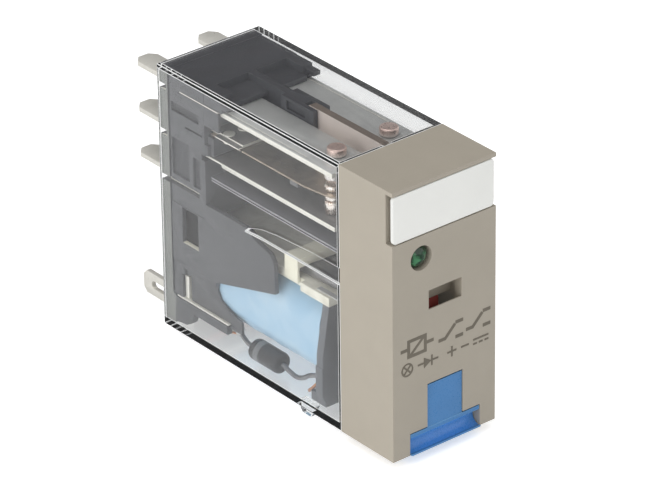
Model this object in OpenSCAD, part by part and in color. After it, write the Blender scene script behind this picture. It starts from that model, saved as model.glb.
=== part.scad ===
// Plug-in two-pole control relay with clear case, status lamp, operation
// flag, label plate and lockable test slide. All sizes in millimetres.
//
// Working frame of the modules: X across the body (0 = mid plane), Y from the
// front face (0) to the seating face (body_l), Z from the bottom (0) to the
// top (body_h). at_seat() moves everything so that the origin is the centre
// of the seating face, with the terminals pointing along +Y.

/* [Body] */
// Width of the housing across the two poles
body_w = 12.7; // [12.5:0.05:12.9]
// Length of the housing from the front face to the seating face
body_l = 35.3; // [35.2:0.05:35.5]
// Height of the housing
body_h = 28.8; // [28.7:0.05:29]
// Depth of the opaque front cap
cap_l = 7.7; // [7.5:0.1:8]
// Wall of the clear case
wall = 0.6; // [0.5:0.05:0.65]
// Height of the guide lug under the case
lug_h = 0.95; // [0.6:0.05:1.2]

/* [Terminals] */
// Free length of every blade behind the seating face
blade_l = 5.6; // [5:0.1:6.5]
// Width of a blade
blade_w = 2.5; // [2.2:0.1:2.8]
// Thickness of a blade
blade_t = 0.5; // [0.4:0.05:0.5]
// Half of the distance between the two rows of contact blades
row_x = 3.75; // [3.6:0.05:3.9]
// Height of the middle of the normally open blade
no_z = 26.5; // [26.4:0.05:26.55]
// Pitch of the three contact blades of one pole
pitch = 5; // [4.95:0.01:5.05]

/* [Mechanism] */
// Angle that the armature is open at rest
open_deg = 3; // [2:0.1:3]
// Radius of a contact button
contact_r = 0.95; // [0.7:0.05:1]
// Travel of the test slide
slide_travel = 2.4; // [1.2:0.1:2.4]
// Radius of the magnet core
core_r = 2.3; // [2:0.1:2.3]

/* [Front face] */
// Radius of the lamp hole
lamp_r = 1.28; // [1.1:0.02:1.4]
// Width of the flag window
flag_win_w = 4.05; // [3.4:0.05:4.4]
// Height of the flag window
flag_win_h = 2.05; // [1.6:0.05:2.2]
// Width of the stem of the test slide
stem_w = 4.3; // [3.6:0.1:4.4]

/* [Hidden] */
$fn = 48;
eps = 0.02;
gap = 0.05;                     // assembly clearance
in_x = body_w/2 - wall;         // inner half width of the case
in_b = wall;                    // inner floor of the case
in_t = body_h - wall;           // inner ceiling of the case
com_z = no_z - pitch;
nc_z = no_z - 2*pitch;
strip_out = 5.25;               // outer edge of the contact strips
strip_in = 1.2;                 // inner edge of the contact strips
con = [3.2, 11.8];              // contact axis, x and y
con_y = con[1];
no_b = 24.81;                   // underside of the fixed upper contact
nc_t = 22.58;                   // top of the fixed lower contact
spr_b = 23.45;                  // underside of the contact spring
spr_t = 23.62;                  // top of the contact spring
spr_y = 23.6;                   // bending line of the contact spring
lower_z = 20.7;                 // underside of the lower contact strip
piv = [10, 13.25];              // armature hinge axis, y and z
coil_z = 7.5;                     // coil axis height
led_p = [-2.84, 20.85];         // lamp axis, x and z
card_y = 15.3;                  // front of the lifting card
coil_blade_z = 1.95;            // height of the middle of a coil blade

// ---------------------------------------------------------------- helpers

module at_seat() translate([0, -body_l, -body_h/2]) children();

// box from its lowest to its highest corner
module box(a, b) translate(a) cube(b - a);

// same shape on the left (-1) or the right (1) of the mid plane
module on(s) mirror([s < 0 ? 1 : 0, 0, 0]) children();

// round bar along Y from ya to yb
module bar_y(x, z, ya, yb, r) translate([x, yb, z]) rotate([90, 0, 0]) cylinder(r = r, h = yb - ya);

// round wire swept along a list of points: the route is smoothed, then a ring of
// corners is carried along it without twist
function unit(v) = v/norm(v);
function at(p, i) = p[max(0, min(len(p) - 1, i))];
function smooth(p, n) = concat([for (i = [0 : len(p) - 2], k = [0 : n - 1])
  let (t = k/n, a = at(p, i - 1), b = p[i], c = p[i + 1], d = at(p, i + 2))
  0.5*(2*b + (c - a)*t + (2*a - 5*b + 4*c - d)*t*t + (3*b - a - 3*c + d)*t*t*t)], [p[len(p) - 1]]);
function heading(p, i) = unit(at(p, i + 1) - at(p, i - 1));
function normals(p, i, n) = i == len(p) ? [] :
  let (t = heading(p, i), m = unit(n - (n*t)*t)) concat([m], normals(p, i + 1, m));
module wire(pts, r, n = 3, sides = 8) {
  p = smooth(pts, n);
  m = normals(p, 0, [0.31, 0.17, 0.93]);
  last = len(p) - 1;
  polyhedron(points = [for (i = [0 : last], k = [0 : sides - 1])
      p[i] + r*(cos(360*k/sides)*m[i] + sin(360*k/sides)*cross(heading(p, i), m[i]))],
    faces = concat([[for (k = [0 : sides - 1]) k]],
      [for (i = [0 : last - 1], k = [0 : sides - 1]) let (a = i*sides + k, b = i*sides + (k + 1) % sides)
        [a, a + sides, b + sides, b]],
      [[for (k = [sides - 1 : -1 : 0]) last*sides + k]]), convexity = 6);
}

// outline with straight sides and true round corners, centred
module round_rect(w, h, r) {
  square([w - 2*r, h], center = true);
  square([w, h - 2*r], center = true);
  for (x = [-1, 1], y = [-1, 1]) translate([x*(w/2 - r), y*(h/2 - r)]) circle(r = r);
}

// outline drawn in Y and Z, given as a plate from xa to xb
module yz_plate(pts, xa, xb) translate([xa, 0, 0]) rotate([90, 0, 90])
  linear_extrude(height = xb - xa) polygon(pts);

// outline in X and Z, made solid from ya to yb
module xz_solid(ya, yb) translate([0, yb, 0]) rotate([90, 0, 0])
  linear_extrude(height = yb - ya) children();

// flat blade tip with both corners cut, lying in XY
module flat_blade(x, z, y0) {
  y1 = body_l + blade_l;
  translate([0, 0, z - blade_t/2]) linear_extrude(height = blade_t)
    polygon([[x - blade_w/2, y0], [x + blade_w/2, y0], [x + blade_w/2, y1 - 0.75],
             [x + 0.6, y1], [x - 0.6, y1], [x - blade_w/2, y1 - 0.75]]);
}

// contact button with a slightly crowned rim
module button(x, y, z0, z1, r) {
  c = min(0.12, (z1 - z0)/3);
  translate([x, y, z0]) {
    cylinder(r1 = r - c, r2 = r, h = c);
    translate([0, 0, c]) cylinder(r = r, h = z1 - z0 - 2*c);
    translate([0, 0, z1 - z0 - c]) cylinder(r1 = r, r2 = r - c, h = c);
  }
}

// ---------------------------------------------------------------- housing

// moulded base: seating plate, terminal block, side plates and middle wall
module base() color([0.30, 0.30, 0.32]) at_seat() difference() {
  union() {
    box([-5.7, 34.0, 0.65], [5.7, body_l, 28.15]);
    box([-5.62, 28.5, 14.25], [5.62, 34.02, 28.1]);
    for (s = [-1, 1]) on(s) {
      // side plate reaching over the coil
      yz_plate([[34.02, 14.3], [34.02, 7.9], [27.2, 7.9], [17.9, 10.5], [18.0, 13.8], [18.6, 14.6],
                [21.2, 15.3], [22.2, 16.0], [28.6, 16.0], [28.6, 14.3]], 5.2, 5.7);
      // lower plate behind the coil end
      yz_plate([[34.02, 8.0], [34.02, 3.4], [23.6, 3.4], [23.6, 4.7], [25.6, 5.2], [26.9, 5.9],
                [27.4, 6.8], [27.2, 8.0]], 5.1, 5.35);
      yz_plate([[34.02, 8.0], [34.02, 3.4], [32.2, 3.4], [32.2, 7.35], [27.3, 7.35], [27.2, 8.0]], 5.2, 5.62);
      box([5.1, 25.5, 2.75], [5.7, 34.02, 3.9]);
      yz_plate([[34.02, 0.65], [33.8, 0.65], [33.4, 0.9], [32.0, 1.1], [31.3, 1.5], [30.8, 2.8], [34.02, 2.8]], 4.9, 5.7);
      // wall closing the space behind the window
      box([4.66, 29.45, 8.3], [4.86, 34.02, 14.3]);
      box([4.66, 29.45, 8.3], [5.3, 29.65, 14.3]);
      // clamp ledge over the upper strip and its front tooth
      box([0.4, 25.4, 26.82], [4.3, 28.52, 27.35]);
      box([4.3, 26.1, 26.82], [5.55, 28.52, 28.1]);
      box([5.32, 26.3, 24.6], [5.6, 28.52, 26.9]);
      box([4.75, 24.9, 27.3], [5.55, 26.12, 27.75]);
      box([4.75, 25.8, 26.82], [5.55, 26.15, 27.35]);
      // ribs across the block front
      box([0.4, 27.6, 24.4], [5.2, 28.52, 26.1]);
      box([0.4, 27.6, 21.35], [5.2, 28.52, 23.3]);
      box([5.0, 28.0, 21.4], [5.62, 28.52, 22.5]);
    }
    // middle wall with a thicker head that takes the tongue of the cap
    box([-0.45, 18.2, 19.4], [0.45, 28.6, 28.1]);
    box([-1.02, 17.9, 19.4], [1.02, 22.8, 28.1]);
  }
  for (s = [-1, 1]) on(s) {
    // strip and blade slots; only their front parts are open to the side
    box([strip_in - gap, 20, no_z - 0.3], [5.3, 36, no_z + 0.3]);
    box([5.2, 20, no_z - 0.3], [6, 26.3, no_z + 0.3]);
    box([5.2, 26.2, no_z + 0.1], [6, 32.5, no_z + 0.3]);
    box([strip_in - gap, 20, com_z + 1.88], [4.7, 33.05, com_z + 2.5]);
    box([4.6, 20, com_z + 1.88], [6, 28.1, com_z + 2.5]);
    box([strip_in - gap, 32.0, com_z - 0.3], [4.7, 33.05, com_z + 2.5]);
    box([strip_in - gap, 32.0, com_z - 0.3], [5.3, 36, com_z + 0.3]);
    box([strip_in - gap, 20, lower_z - gap], [4.7, 30.15, lower_z + 0.5 + gap]);
    box([4.6, 20, lower_z - gap], [6, 29.05, lower_z + 0.5 + gap]);
    box([strip_in - gap, 29.5, nc_z - 0.3], [4.7, 30.15, lower_z + 0.5 + gap]);
    box([strip_in - gap, 29.5, nc_z - 0.3], [6, 36, nc_z + 0.3]);
    // notches of the seating plate at the upper blade levels
    for (z = [no_z, com_z]) box([5.2, 34.3, z - 0.3], [6, 36, z + 0.3]);
    // shadow line between the block and the seating plate
    box([5.4, 33.86, 4.2], [6, 34.06, 28.2]);
    // relief pockets on the side of the block
    box([5.3, 31.0, 17.4], [6, 33.7, 21.4]);
    box([5.3, 29.3, 17.2], [6, 30.4, 20.4]);
    box([5.3, 29.4, 24.3], [6, 33.7, 25.3]);
    box([5.3, 28.9, 23.1], [6, 31.5, 23.3]);
    // window in the side plate
    box([4.86, 29.75, 10.3], [6, 32.25, 14.2]);
    // opening beside the upright of the coil terminal and slot for its flange
    box([4.7, 31.5, 3.7], [6, 32.62, 6.6]);
    box([4.7, 25.3, 3.7], [6, 33.6, 3.94]);
    // slot for the coil blade
    box([4.0, 33, coil_blade_z - 1.33], [4.6, 36, coil_blade_z + 1.33]);
    // recessed panel on the thick head of the middle wall
    box([0.72, 19.2, 26.9], [1.2, 22.0, 27.8]);
  }
  // receiving slot for the tongue
  box([-0.5, 17, 24.2], [0.5, 19.9, 28.4]);
}

// clear case: open box with a stepped front neck and a guide lug
module clear_case() color([0.85, 0.9, 0.92, 0.3]) at_seat() difference() {
  union() {
    difference() {
      box([-body_w/2, cap_l, 0], [body_w/2, body_l, body_h]);
      box([-in_x, cap_l + wall, in_b], [in_x, body_l + 1, in_t]);
      box([-4.95, cap_l - 1, 1.4], [4.95, cap_l + 1, 27.4]);
    }
    difference() {
      box([-5.38, cap_l - 1.3, 0.98], [5.38, cap_l + 0.1, 27.82]);
      box([-4.95, cap_l - 2, 1.4], [4.95, cap_l + 1, 27.4]);
    }
    // guide lug under the floor, near the left side
    yz_plate([[14.6, 0.1], [14.5, -0.5*lug_h], [14.1, -lug_h], [12.9, -lug_h], [12.3, 0.1]], -5.9, -4.7);
  }
  // passage for the tongue of the cap
  box([-0.55, 3, 23.9], [0.55, cap_l + wall + 1, 28.2]);
  // pointed grip grooves in both side walls
  for (s = [-1, 1]) on(s) yz_plate([[6.9, 16.0], [19.2, 16.02], [22.0, 15.85], [21.4, 16.4],
    [19.6, 17.0], [17.2, 17.35], [11.8, 17.7], [6.9, 17.75]], body_w/2 - 0.22, body_w/2 + 1);
}

// opaque front cap with the tongue that divides the two poles
module front_cap() color([0.68, 0.65, 0.59]) at_seat() {
  fx = 0.09;
  difference() {
    box([-body_w/2, 0, 0], [body_w/2, cap_l, body_h]);
    // inner space, with a thicker wall behind the label plate
    box([-5.45, 1.05, 0.9], [5.45, cap_l + 1, 22.4]);
    box([-5.45, 1.9, 22.3], [5.45, cap_l + 1, 27.9]);
    // pocket of the label plate, open to both sides
    box([-body_w, -1, 23.2], [body_w, 0.95, 28.38]);
    // lamp hole
    bar_y(led_p[0], led_p[1], -1, 2, lamp_r);
    // flag window
    yz_plate([[-1, 15.03], [0.12, 15.03], [1.3, 14.2], [2, 14.2], [2, 15.03 + flag_win_h], [-1, 15.03 + flag_win_h]],
             fx - flag_win_w/2, fx + flag_win_w/2);
    // T-shaped opening of the test slide and the slot for its inner plate
    box([fx - stem_w/2 - 0.05, -1, 2], [fx + stem_w/2 + 0.05, 1.5, 7.05]);
    box([fx - 4.35, -1, -1], [fx + 4.35, 1.5, 2.38]);
    box([fx - 5.0, 1.05, -1], [fx + 5.0, 2.0, 2.38]);
  }
  // guide ribs and stops behind the inner plate of the test slide
  for (s = [-1, 1]) {
    translate([fx, 0, 0]) box([s > 0 ? 3.6 : -5.3, 2.0, 0.85], [s > 0 ? 5.3 : -3.6, 2.6, 9.2]);
    translate([fx, 0, 0]) box([s > 0 ? 4.72 : -5.46, 1.0, 2.45], [s > 0 ? 5.46 : -4.72, 2.05, 5.1]);
  }
  // tongue
  yz_plate([[1.8, 24.45], [9.0, 24.45], [9.0, 24.45], [19.6, 24.45], [19.6, 27.9], [19.2, 28.15],
            [8.5, 28.15], [8.2, 27.95], [1.8, 27.95]], -0.42, 0.42);
  // light shield above the flag
  box([-2.3, 1.0, 17.2], [2.7, 2.3, 17.5]);
  box([-2.3, 2.0, 14.78], [2.7, 2.3, 17.5]);
  box([2.4, 1.0, 10.8], [2.7, 5.2, 17.5]);
  // shelf and posts that hold the lamp board
  box([-5.46, 4.25, 18.2], [-4.9, 5.0, 22.6]);
  box([0.75, 1.0, 18.6], [1.3, 3.95, 22.35]);
}

// printed-label plate that snaps into the front pocket
module nameplate() color([0.9, 0.9, 0.88]) at_seat() {
  xz_solid(0.02, 0.42) translate([-0.06, 25.79]) round_rect(12.35, 4.98, 0.42);
  box([-4.9, 0.4, 23.7], [5.3, 0.93, 27.9]);
}

// T-shaped test slide with its finger scoop, inner plate and ramp
module test_slide() color([0.27, 0.48, 0.72]) at_seat() translate([0.09, 0, 0]) {
  difference() {
    union() {
      box([-stem_w/2, 0.1, 1.5], [stem_w/2, 1.2, 6.84]);
      box([-4.28, 0.03, 0.0], [4.28, 1.2, 2.24]);
      // lip under the scoop
      yz_plate([[0.03, 0.42], [-0.22, 0.2], [-0.22, 0.0], [1.2, 0.0], [1.2, 0.42]], -4.28, 4.28);
      // inner plate with stop wings
      box([-4.6, 1.1, 0.05], [4.6, 1.92, 8.6]);
      box([-5.2, 1.1, 7.6], [5.2, 1.92, 8.6]);
      // ramp that reaches towards the armature leg
      yz_plate([[1.9, 3.6], [5.9, 4.0], [7.3, 4.5], [7.3, 5.2], [6.4, 6.2], [1.9, 6.6]], -1.6, 1.6);
    }
    // finger scoop, a round hollow below the shoulder
    translate([-5, 0.1, 0.98]) rotate([0, 90, 0]) cylinder(r = 0.86, h = 10);
    box([-5, -0.8, 0.55], [5, 0.1, 1.82]);
  }
}

// ---------------------------------------------------------------- lamp

// lamp body with a domed lens behind the front face
module led() color([0.07, 0.25, 0.12]) at_seat() translate([led_p[0], 0, led_p[1]]) rotate([-90, 0, 0])
  rotate_extrude() difference() {
    union() {
      intersection() {
        translate([0, 1.52]) circle(r = 1.5);
        square([1.2, 1.5]);
      }
      translate([0, 1.0]) square([1.2, 1.9]);
      translate([0, 2.7]) square([1.45, 0.65]);
    }
    translate([-3, 0]) square([3, 6]);
    translate([-3, 3.35]) square([6, 3]);
  }

// small circuit board of the lamp
module led_board() color([0.16, 0.35, 0.2]) at_seat() difference() {
  box([-5.3, 3.4, 18.3], [0.7, 4.2, 22.25]);
  for (x = [-0.64, 0.64]) bar_y(led_p[0] + x, led_p[1], 3, 5, 0.28);
}

// series resistor lying on the back of the board
module led_resistor() color([0.76, 0.66, 0.5]) at_seat() {
  translate([-3.9, 4.95, 19.35]) rotate([0, 90, 0]) cylinder(r = 0.6, h = 3.2);
  wire([[-3.85, 4.95, 19.35], [-4.5, 4.95, 19.35], [-4.5, 4.24, 19.35]], 0.2);
  wire([[-0.75, 4.95, 19.35], [-0.1, 4.95, 19.35], [-0.1, 4.24, 19.35]], 0.2);
}

// two lamp wires down the right side and along the floor to the coil blades
module led_leads() color([0.75, 0.15, 0.12]) at_seat() {
  wire([[0.2, 4.24, 20.6], [0.2, 5.4, 20.6], [4.5, 5.6, 20.2], [4.72, 5.6, 18.5], [4.72, 5.6, 3.2], [4.72, 6.4, 1.9],
        [4.72, 8.6, 1.7], [4.72, 10.6, 1.2], [4.72, 13.4, 1.12], [4.72, 23.5, 1.12], [4.4, 25.0, 2.2], [4.3, 25.35, 2.55]], 0.2);
  wire([[0.2, 4.24, 21.6], [0.2, 5.9, 21.6], [3.9, 6.3, 21.3], [4.25, 6.4, 19.5], [4.25, 6.4, 3.6], [4.25, 7.0, 2.3],
        [4.22, 8.8, 1.75], [4.2, 10.6, 1.2], [4.2, 13.4, 1.12], [4.2, 26.6, 1.12], [4.2, 30.4, 1.3], [3.4, 31.6, 2.0],
        [-3.3, 31.6, 2.4], [-3.9, 31.6, 2.75]], 0.2);
}

// ---------------------------------------------------------------- contacts

// upper fixed strip, straight through to its blade
module no_terminal(s) at_seat() on(s) difference() {
  union() {
    box([strip_in, 9.6, no_z - 0.25], [strip_out, 33.4, no_z + 0.25]);
    box([2.3, 33.3, no_z - 0.25], [5.2, 34.6, no_z + 0.25]);
    box([5.2, 26.4, no_z + 0.12], [5.58, 32.4, no_z + 0.25]);
    flat_blade(row_x, no_z, 34.4);
  }
  translate([con[0], con_y, no_z - 1]) cylinder(r = 0.52, h = 2);
  // coined groove along the strip
  box([4.75, 13.8, no_z + 0.17], [4.87, 27.0, no_z + 1]);
}
module no_terminal_left() color([0.8, 0.78, 0.7]) no_terminal(-1);
module no_terminal_right() color([0.8, 0.78, 0.7]) no_terminal(1);

// common terminal: blade, riser and the strip that clamps the spring
module com_terminal(s) at_seat() on(s) difference() {
  union() {
    flat_blade(row_x, com_z, 33.0);
    box([2.2, 32.05, com_z - 0.25], [5.2, 34.4, com_z + 0.25]);
    box([2.2, 32.05, com_z - 0.25], [4.6, 32.5, spr_t + 0.32]);
    box([1.5, 23.8, spr_t + 0.01], [4.6, 32.5, spr_t + 0.32]);
    box([4.5, 23.8, spr_t + 0.01], [5.2, 27.4, spr_t + 0.15]);
  }
  for (x = [2.4, 4.2]) translate([x, 26.4, 22]) cylinder(r = 0.36, h = 3);
}
module com_terminal_left() color([0.8, 0.78, 0.7]) com_terminal(-1);
module com_terminal_right() color([0.8, 0.78, 0.7]) com_terminal(1);

// lower fixed strip with its riser and blade
module nc_terminal(s) at_seat() on(s) difference() {
  union() {
    box([strip_in, 9.3, lower_z], [4.6, 30.05, lower_z + 0.5]);
    box([4.5, 9.3, lower_z], [strip_out, 26.4, lower_z + 0.5]);
    box([4.5, 26.3, lower_z + 0.26], [strip_out, 29.0, lower_z + 0.5]);
    box([2.2, 29.55, nc_z - 0.25], [4.6, 30.05, lower_z + 0.5]);
    box([2.2, 29.55, nc_z - 0.25], [5.2, 34.6, nc_z + 0.25]);
    flat_blade(row_x, nc_z, 34.4);
  }
  translate([con[0], con_y, lower_z - 1]) cylinder(r = 0.52, h = 2);
}
module nc_terminal_left() color([0.8, 0.78, 0.7]) nc_terminal(-1);
module nc_terminal_right() color([0.8, 0.78, 0.7]) nc_terminal(1);

// riveted contact buttons of the upper strips
module no_contacts() color([0.72, 0.6, 0.55]) at_seat() for (s = [-1, 1]) on(s) {
  button(con[0], con_y, no_b, no_z - 0.25, contact_r);
  translate([con[0], con_y, no_z - 0.26]) cylinder(r = 0.5, h = 0.54);
  button(con[0], con_y, no_z + 0.25, 27.62, contact_r);
}

// riveted contact buttons of the lower strips
module nc_contacts() color([0.85, 0.8, 0.74]) at_seat() for (s = [-1, 1]) on(s) {
  button(con[0], con_y, lower_z + 0.5, nc_t, contact_r);
  translate([con[0], con_y, lower_z - 0.01]) cylinder(r = 0.5, h = 0.54);
  button(con[0], con_y, lower_z - 0.45, lower_z, 0.75);
}

// clamped ends of the two contact springs
module spring_roots() color([0.78, 0.6, 0.42]) at_seat() for (s = [-1, 1]) on(s) difference() {
  box([1.6, 23.75, spr_b], [5.0, 28.3, spr_t]);
  for (x = [2.4, 4.2]) translate([x, 26.4, 22]) cylinder(r = 0.36, h = 3);
}

// four rivets through the spring roots
module spring_rivets() color([0.75, 0.73, 0.7]) at_seat() for (s = [-1, 1], x = [2.4, 4.2]) on(s)
  translate([x, 26.4, 0]) {
    translate([0, 0, spr_b - 0.3]) cylinder(r = 0.6, h = 0.29);
    translate([0, 0, spr_b - 0.02]) cylinder(r = 0.34, h = 0.54);
    translate([0, 0, spr_t + 0.33]) cylinder(r = 0.6, h = 0.16);
  }

// free blade of a contact spring, with its tapered tip
module moving_spring(s) at_seat() on(s) translate([0, 0, spr_b]) linear_extrude(height = spr_t - spr_b)
  difference() {
    polygon([[1.6, spr_y - 0.08], [5.0, spr_y - 0.08], [5.0, 14.2], [4.5, 10.7], [4.0, 10.3],
             [2.4, 10.3], [1.9, 10.7], [1.6, 14.2]]);
    translate([con[0], con_y]) circle(r = 0.42);
  }
module moving_spring_left() color([0.78, 0.6, 0.42]) moving_spring(-1);
module moving_spring_right() color([0.78, 0.6, 0.42]) moving_spring(1);

// double contact riveted through the tip of a contact spring
module moving_contacts(s) at_seat() on(s) {
  button(con[0], con_y, nc_t + 0.04, spr_b, contact_r);
  translate([con[0], con_y, spr_b - 0.05]) cylinder(r = 0.4, h = spr_t - spr_b + 0.1);
  button(con[0], con_y, spr_t, 24.25, contact_r);
}
module moving_contacts_left() color([0.85, 0.8, 0.74]) moving_contacts(-1);
module moving_contacts_right() color([0.85, 0.8, 0.74]) moving_contacts(1);

// ---------------------------------------------------------------- motor

// moulded card that carries the lift of the armature to both springs
module lifting_card() color([0.9, 0.88, 0.8]) at_seat() {
  c0 = card_y; c1 = card_y + 2.0;
  box([-0.95, c0, 14.12], [0.95, c1, spr_b - gap]);
  box([-4.5, c0 + 0.4, 22.55], [4.5, c1 - 0.4, spr_b - gap]);
  box([-4.98, c0, 14.12], [4.98, c1, 15.1]);
  for (s = [-1, 1]) on(s) box([4.68, c0, 12.55], [4.98, c1, 14.2]);
}

// steel armature, drawn in the open position
module armature() color([0.62, 0.62, 0.6]) at_seat() translate([0, piv[0], piv[1]]) rotate([-open_deg, 0, 0])
  translate([0, -piv[0], -piv[1]]) {
    yz_plate([[9.0, 1.5], [9.95, 1.5], [9.95, 13.45], [10.05, 13.55], [17.2, 13.55], [17.2, 14.35],
              [9.6, 14.35], [9.0, 13.75]], -4.0, 4.0);
  }

// flag arm clipped to the front of the armature, drawn in the open position
module indicator_flag() color([0.72, 0.2, 0.16]) at_seat() translate([0, piv[0], piv[1]]) rotate([-open_deg, 0, 0])
  translate([0, -piv[0], -piv[1]]) {
    box([-1.6, 8.3, 13.2], [1.6, 8.99, 14.8]);
    box([-1.6, 8.9, 14.36], [1.6, 10.4, 14.8]);
    box([-1.1, 2.4, 13.3], [0.9, 8.4, 14.0]);
    box([-1.75, 2.0, 12.9], [1.0, 2.5, 14.25]);
  }

// flat spring that holds the armature against the yoke
module hinge_spring() color([0.78, 0.62, 0.42]) at_seat() {
  for (s = [-1, 1]) on(s) {
    box([4.35, 8.25, 13.12], [4.9, 12.5, 13.25]);
    box([4.35, 8.25, 12.25], [4.9, 8.38, 13.25]);
  }
  box([-4.9, 8.25, 12.25], [4.9, 8.38, 12.95]);
}

// magnet frame: top arm and rear leg
module yoke() color([0.82, 0.8, 0.72]) at_seat() difference() {
  union() {
    box([-4.6, 10.35, 12.1], [4.6, 30.5, 13.1]);
    box([-5.2, 10.35, 12.1], [5.2, 14.7, 13.1]);
    box([-4.6, 29.5, 3.4], [4.6, 30.5, 13.1]);
  }
  bar_y(0, coil_z, 29, 31, 1.55);
}

// magnet core with pole face and riveted rear end
module core() color([0.6, 0.6, 0.6]) at_seat() {
  bar_y(0, coil_z, 9.99, 10.9, 3.4);
  bar_y(0, coil_z, 10.85, 29.49, core_r);
  bar_y(0, coil_z, 29.45, 30.6, 1.5);
}

// spool: two flanges and the tube around the core
module bobbin() color([0.36, 0.37, 0.39]) at_seat() difference() {
  union() {
    xz_solid(10.95, 11.9) for (s = [-1, 1]) polygon([[0, 12.0], [s*4.7, 12.0], [s*4.7, 11.7], [s*5.2, 8.65],
      [s*5.54, 6.5], [s*5.54, 2.0], [s*4.9, 0.85], [0, 0.85]]);
    xz_solid(10.95, 12.0) for (s = [-1, 1]) polygon([[s*4.2, 3.6], [s*4.2, 5.25], [s*5.62, 5.25], [s*5.62, 2.3],
      [s*4.9, 1.1], [s*4.2, 1.1]]);
    xz_solid(28.3, 29.4) translate([0, 7.6]) round_rect(9.9, 8.6, 1.5);
    xz_solid(11.8, 28.4) translate([0, coil_z]) round_rect(6.0, 6.0, 2.5);
    // foot with the wire channel under the front flange
    box([-5.2, 10.95, 0.85], [5.2, 13.2, 1.9]);
  }
  bar_y(0, coil_z, 10, 30, core_r + 0.03);
  for (s = [-1, 1]) on(s) box([4.35, 12.7, 0.8], [4.75, 13.4, 2.2]);
  // passage for the lamp wires
  box([3.8, 10, 0.5], [6, 14, 1.55]);
}

// enamelled copper winding
module coil_winding() color([0.7, 0.4, 0.22]) at_seat() difference() {
  xz_solid(12.02, 28.25) translate([0, coil_z]) round_rect(9.6, 8.3, 2.65);
  xz_solid(11.5, 29) translate([0, coil_z]) round_rect(6.04, 6.04, 2.52);
}

// tape wrapped over the winding
module coil_tape() color([0.72, 0.84, 0.92]) at_seat() difference() {
  xz_solid(12.02, 28.28) translate([0, coil_z]) round_rect(10.1, 8.8, 2.9);
  xz_solid(11.5, 29) translate([0, coil_z]) round_rect(9.62, 8.32, 2.66);
}

// insulating plate between the motor and the contact chamber
module insulation_plate() color([0.55, 0.55, 0.57]) at_seat() difference() {
  union() {
    box([-5.6, 8.4, 18.92], [5.6, 27.6, 19.34]);
    box([-3.5, 27.5, 18.92], [3.5, 28.45, 19.34]);
  }
  box([-1.15, card_y - 0.2, 18], [1.15, card_y + 2.2, 20]);
  // groove along both edges
  for (s = [-1, 1]) on(s) box([5.48, 8, 19.04], [6, 28, 19.22]);
}

// coil blade standing on edge, with its eye, the rail to the wire post and a thin side flange
module coil_terminal(s) at_seat() on(s) {
  box([4.1, 33.02, 3.72], [5.6, 33.5, 3.92]);
  box([4.8, 25.5, 3.72], [5.6, 33.5, 3.92]);
  box([4.8, 32.0, 3.72], [5.3, 32.55, 6.35]);
  translate([4.05, 0, 0]) rotate([90, 0, 90]) linear_extrude(height = blade_t)
  difference() {
    union() {
      polygon([[33.0, coil_blade_z - 1.25], [body_l + blade_l - 0.5, coil_blade_z - 1.25],
               [body_l + blade_l, coil_blade_z - 0.75], [body_l + blade_l, coil_blade_z + 0.75],
               [body_l + blade_l - 0.5, coil_blade_z + 1.25], [33.55, coil_blade_z + 1.25],
               [33.55, 5.5], [33.0, 5.5]]);
      translate([25.6, 2.5]) square([7.6, 0.7]);
      translate([25.6, 2.3]) square([0.6, 1.1]);
    }
    translate([body_l + 1.95, coil_blade_z - 0.45]) square([1.9, 0.9]);
    for (y = [1.95, 3.85]) translate([body_l + y, coil_blade_z]) circle(r = 0.45);
  }
}
module coil_terminal_left() color([0.8, 0.78, 0.7]) coil_terminal(-1);
module coil_terminal_right() color([0.8, 0.78, 0.7]) coil_terminal(1);

// surge diode on the left side of the coil
module diode() color([0.13, 0.13, 0.14]) at_seat() translate([-4.55, 22.55, 2.17]) rotate([90, 0, 0]) {
  cylinder(r1 = 0.8, r2 = 1.1, h = 0.35);
  translate([0, 0, 0.35]) cylinder(r = 1.1, h = 3.5);
  translate([0, 0, 3.85]) cylinder(r1 = 1.1, r2 = 0.8, h = 0.35);
}

// its two leads
module diode_leads() color([0.6, 0.6, 0.6]) at_seat() {
  wire([[-4.55, 22.58, 2.17], [-4.55, 23.6, 2.17], [-4.4, 24.7, 2.5], [-4.32, 25.3, 2.8]], 0.24);
  wire([[-4.55, 18.31, 2.17], [-4.55, 17.3, 1.85], [-4.55, 16.2, 1.7], [-4.55, 15.1, 2.1],
        [-4.55, 14.1, 2.8], [-4.55, 12.1, 3.6]], 0.24);
}

// ends of the magnet wire brought out to the posts
module coil_wire_tails() color([0.72, 0.4, 0.22]) at_seat() {
  // front end: round the foot of the spool, across to the right side and back to the right post
  wire([[-5.05, 12.2, 3.2], [-5.3, 12.6, 2.6], [-5.38, 13.2, 1.9], [-5.0, 13.62, 1.5], [-4.2, 13.6, 1.75], [4.3, 13.6, 1.75],
        [5.0, 14.1, 1.6], [5.34, 15.2, 1.1], [5.38, 16.4, 0.85], [5.38, 24.2, 0.85], [4.95, 25.0, 1.7], [4.55, 25.3, 2.4]], 0.12);
  // rear end: short tail beside the left rail
  wire([[-4.62, 28.15, 4.55], [-4.85, 28.0, 3.3], [-4.8, 27.4, 2.55], [-4.8, 26.4, 2.45], [-4.62, 25.4, 2.6]], 0.12);
}

// solder on the wire posts
module solder_joints() color([0.78, 0.78, 0.76]) at_seat() for (s = [-1, 1]) on(s)
  translate([4.3, 25.2, 2.85]) difference() {
    sphere(r = 0.5);
    box([-1, 0.38, -1], [1, 1, 1]);
  }

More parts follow.
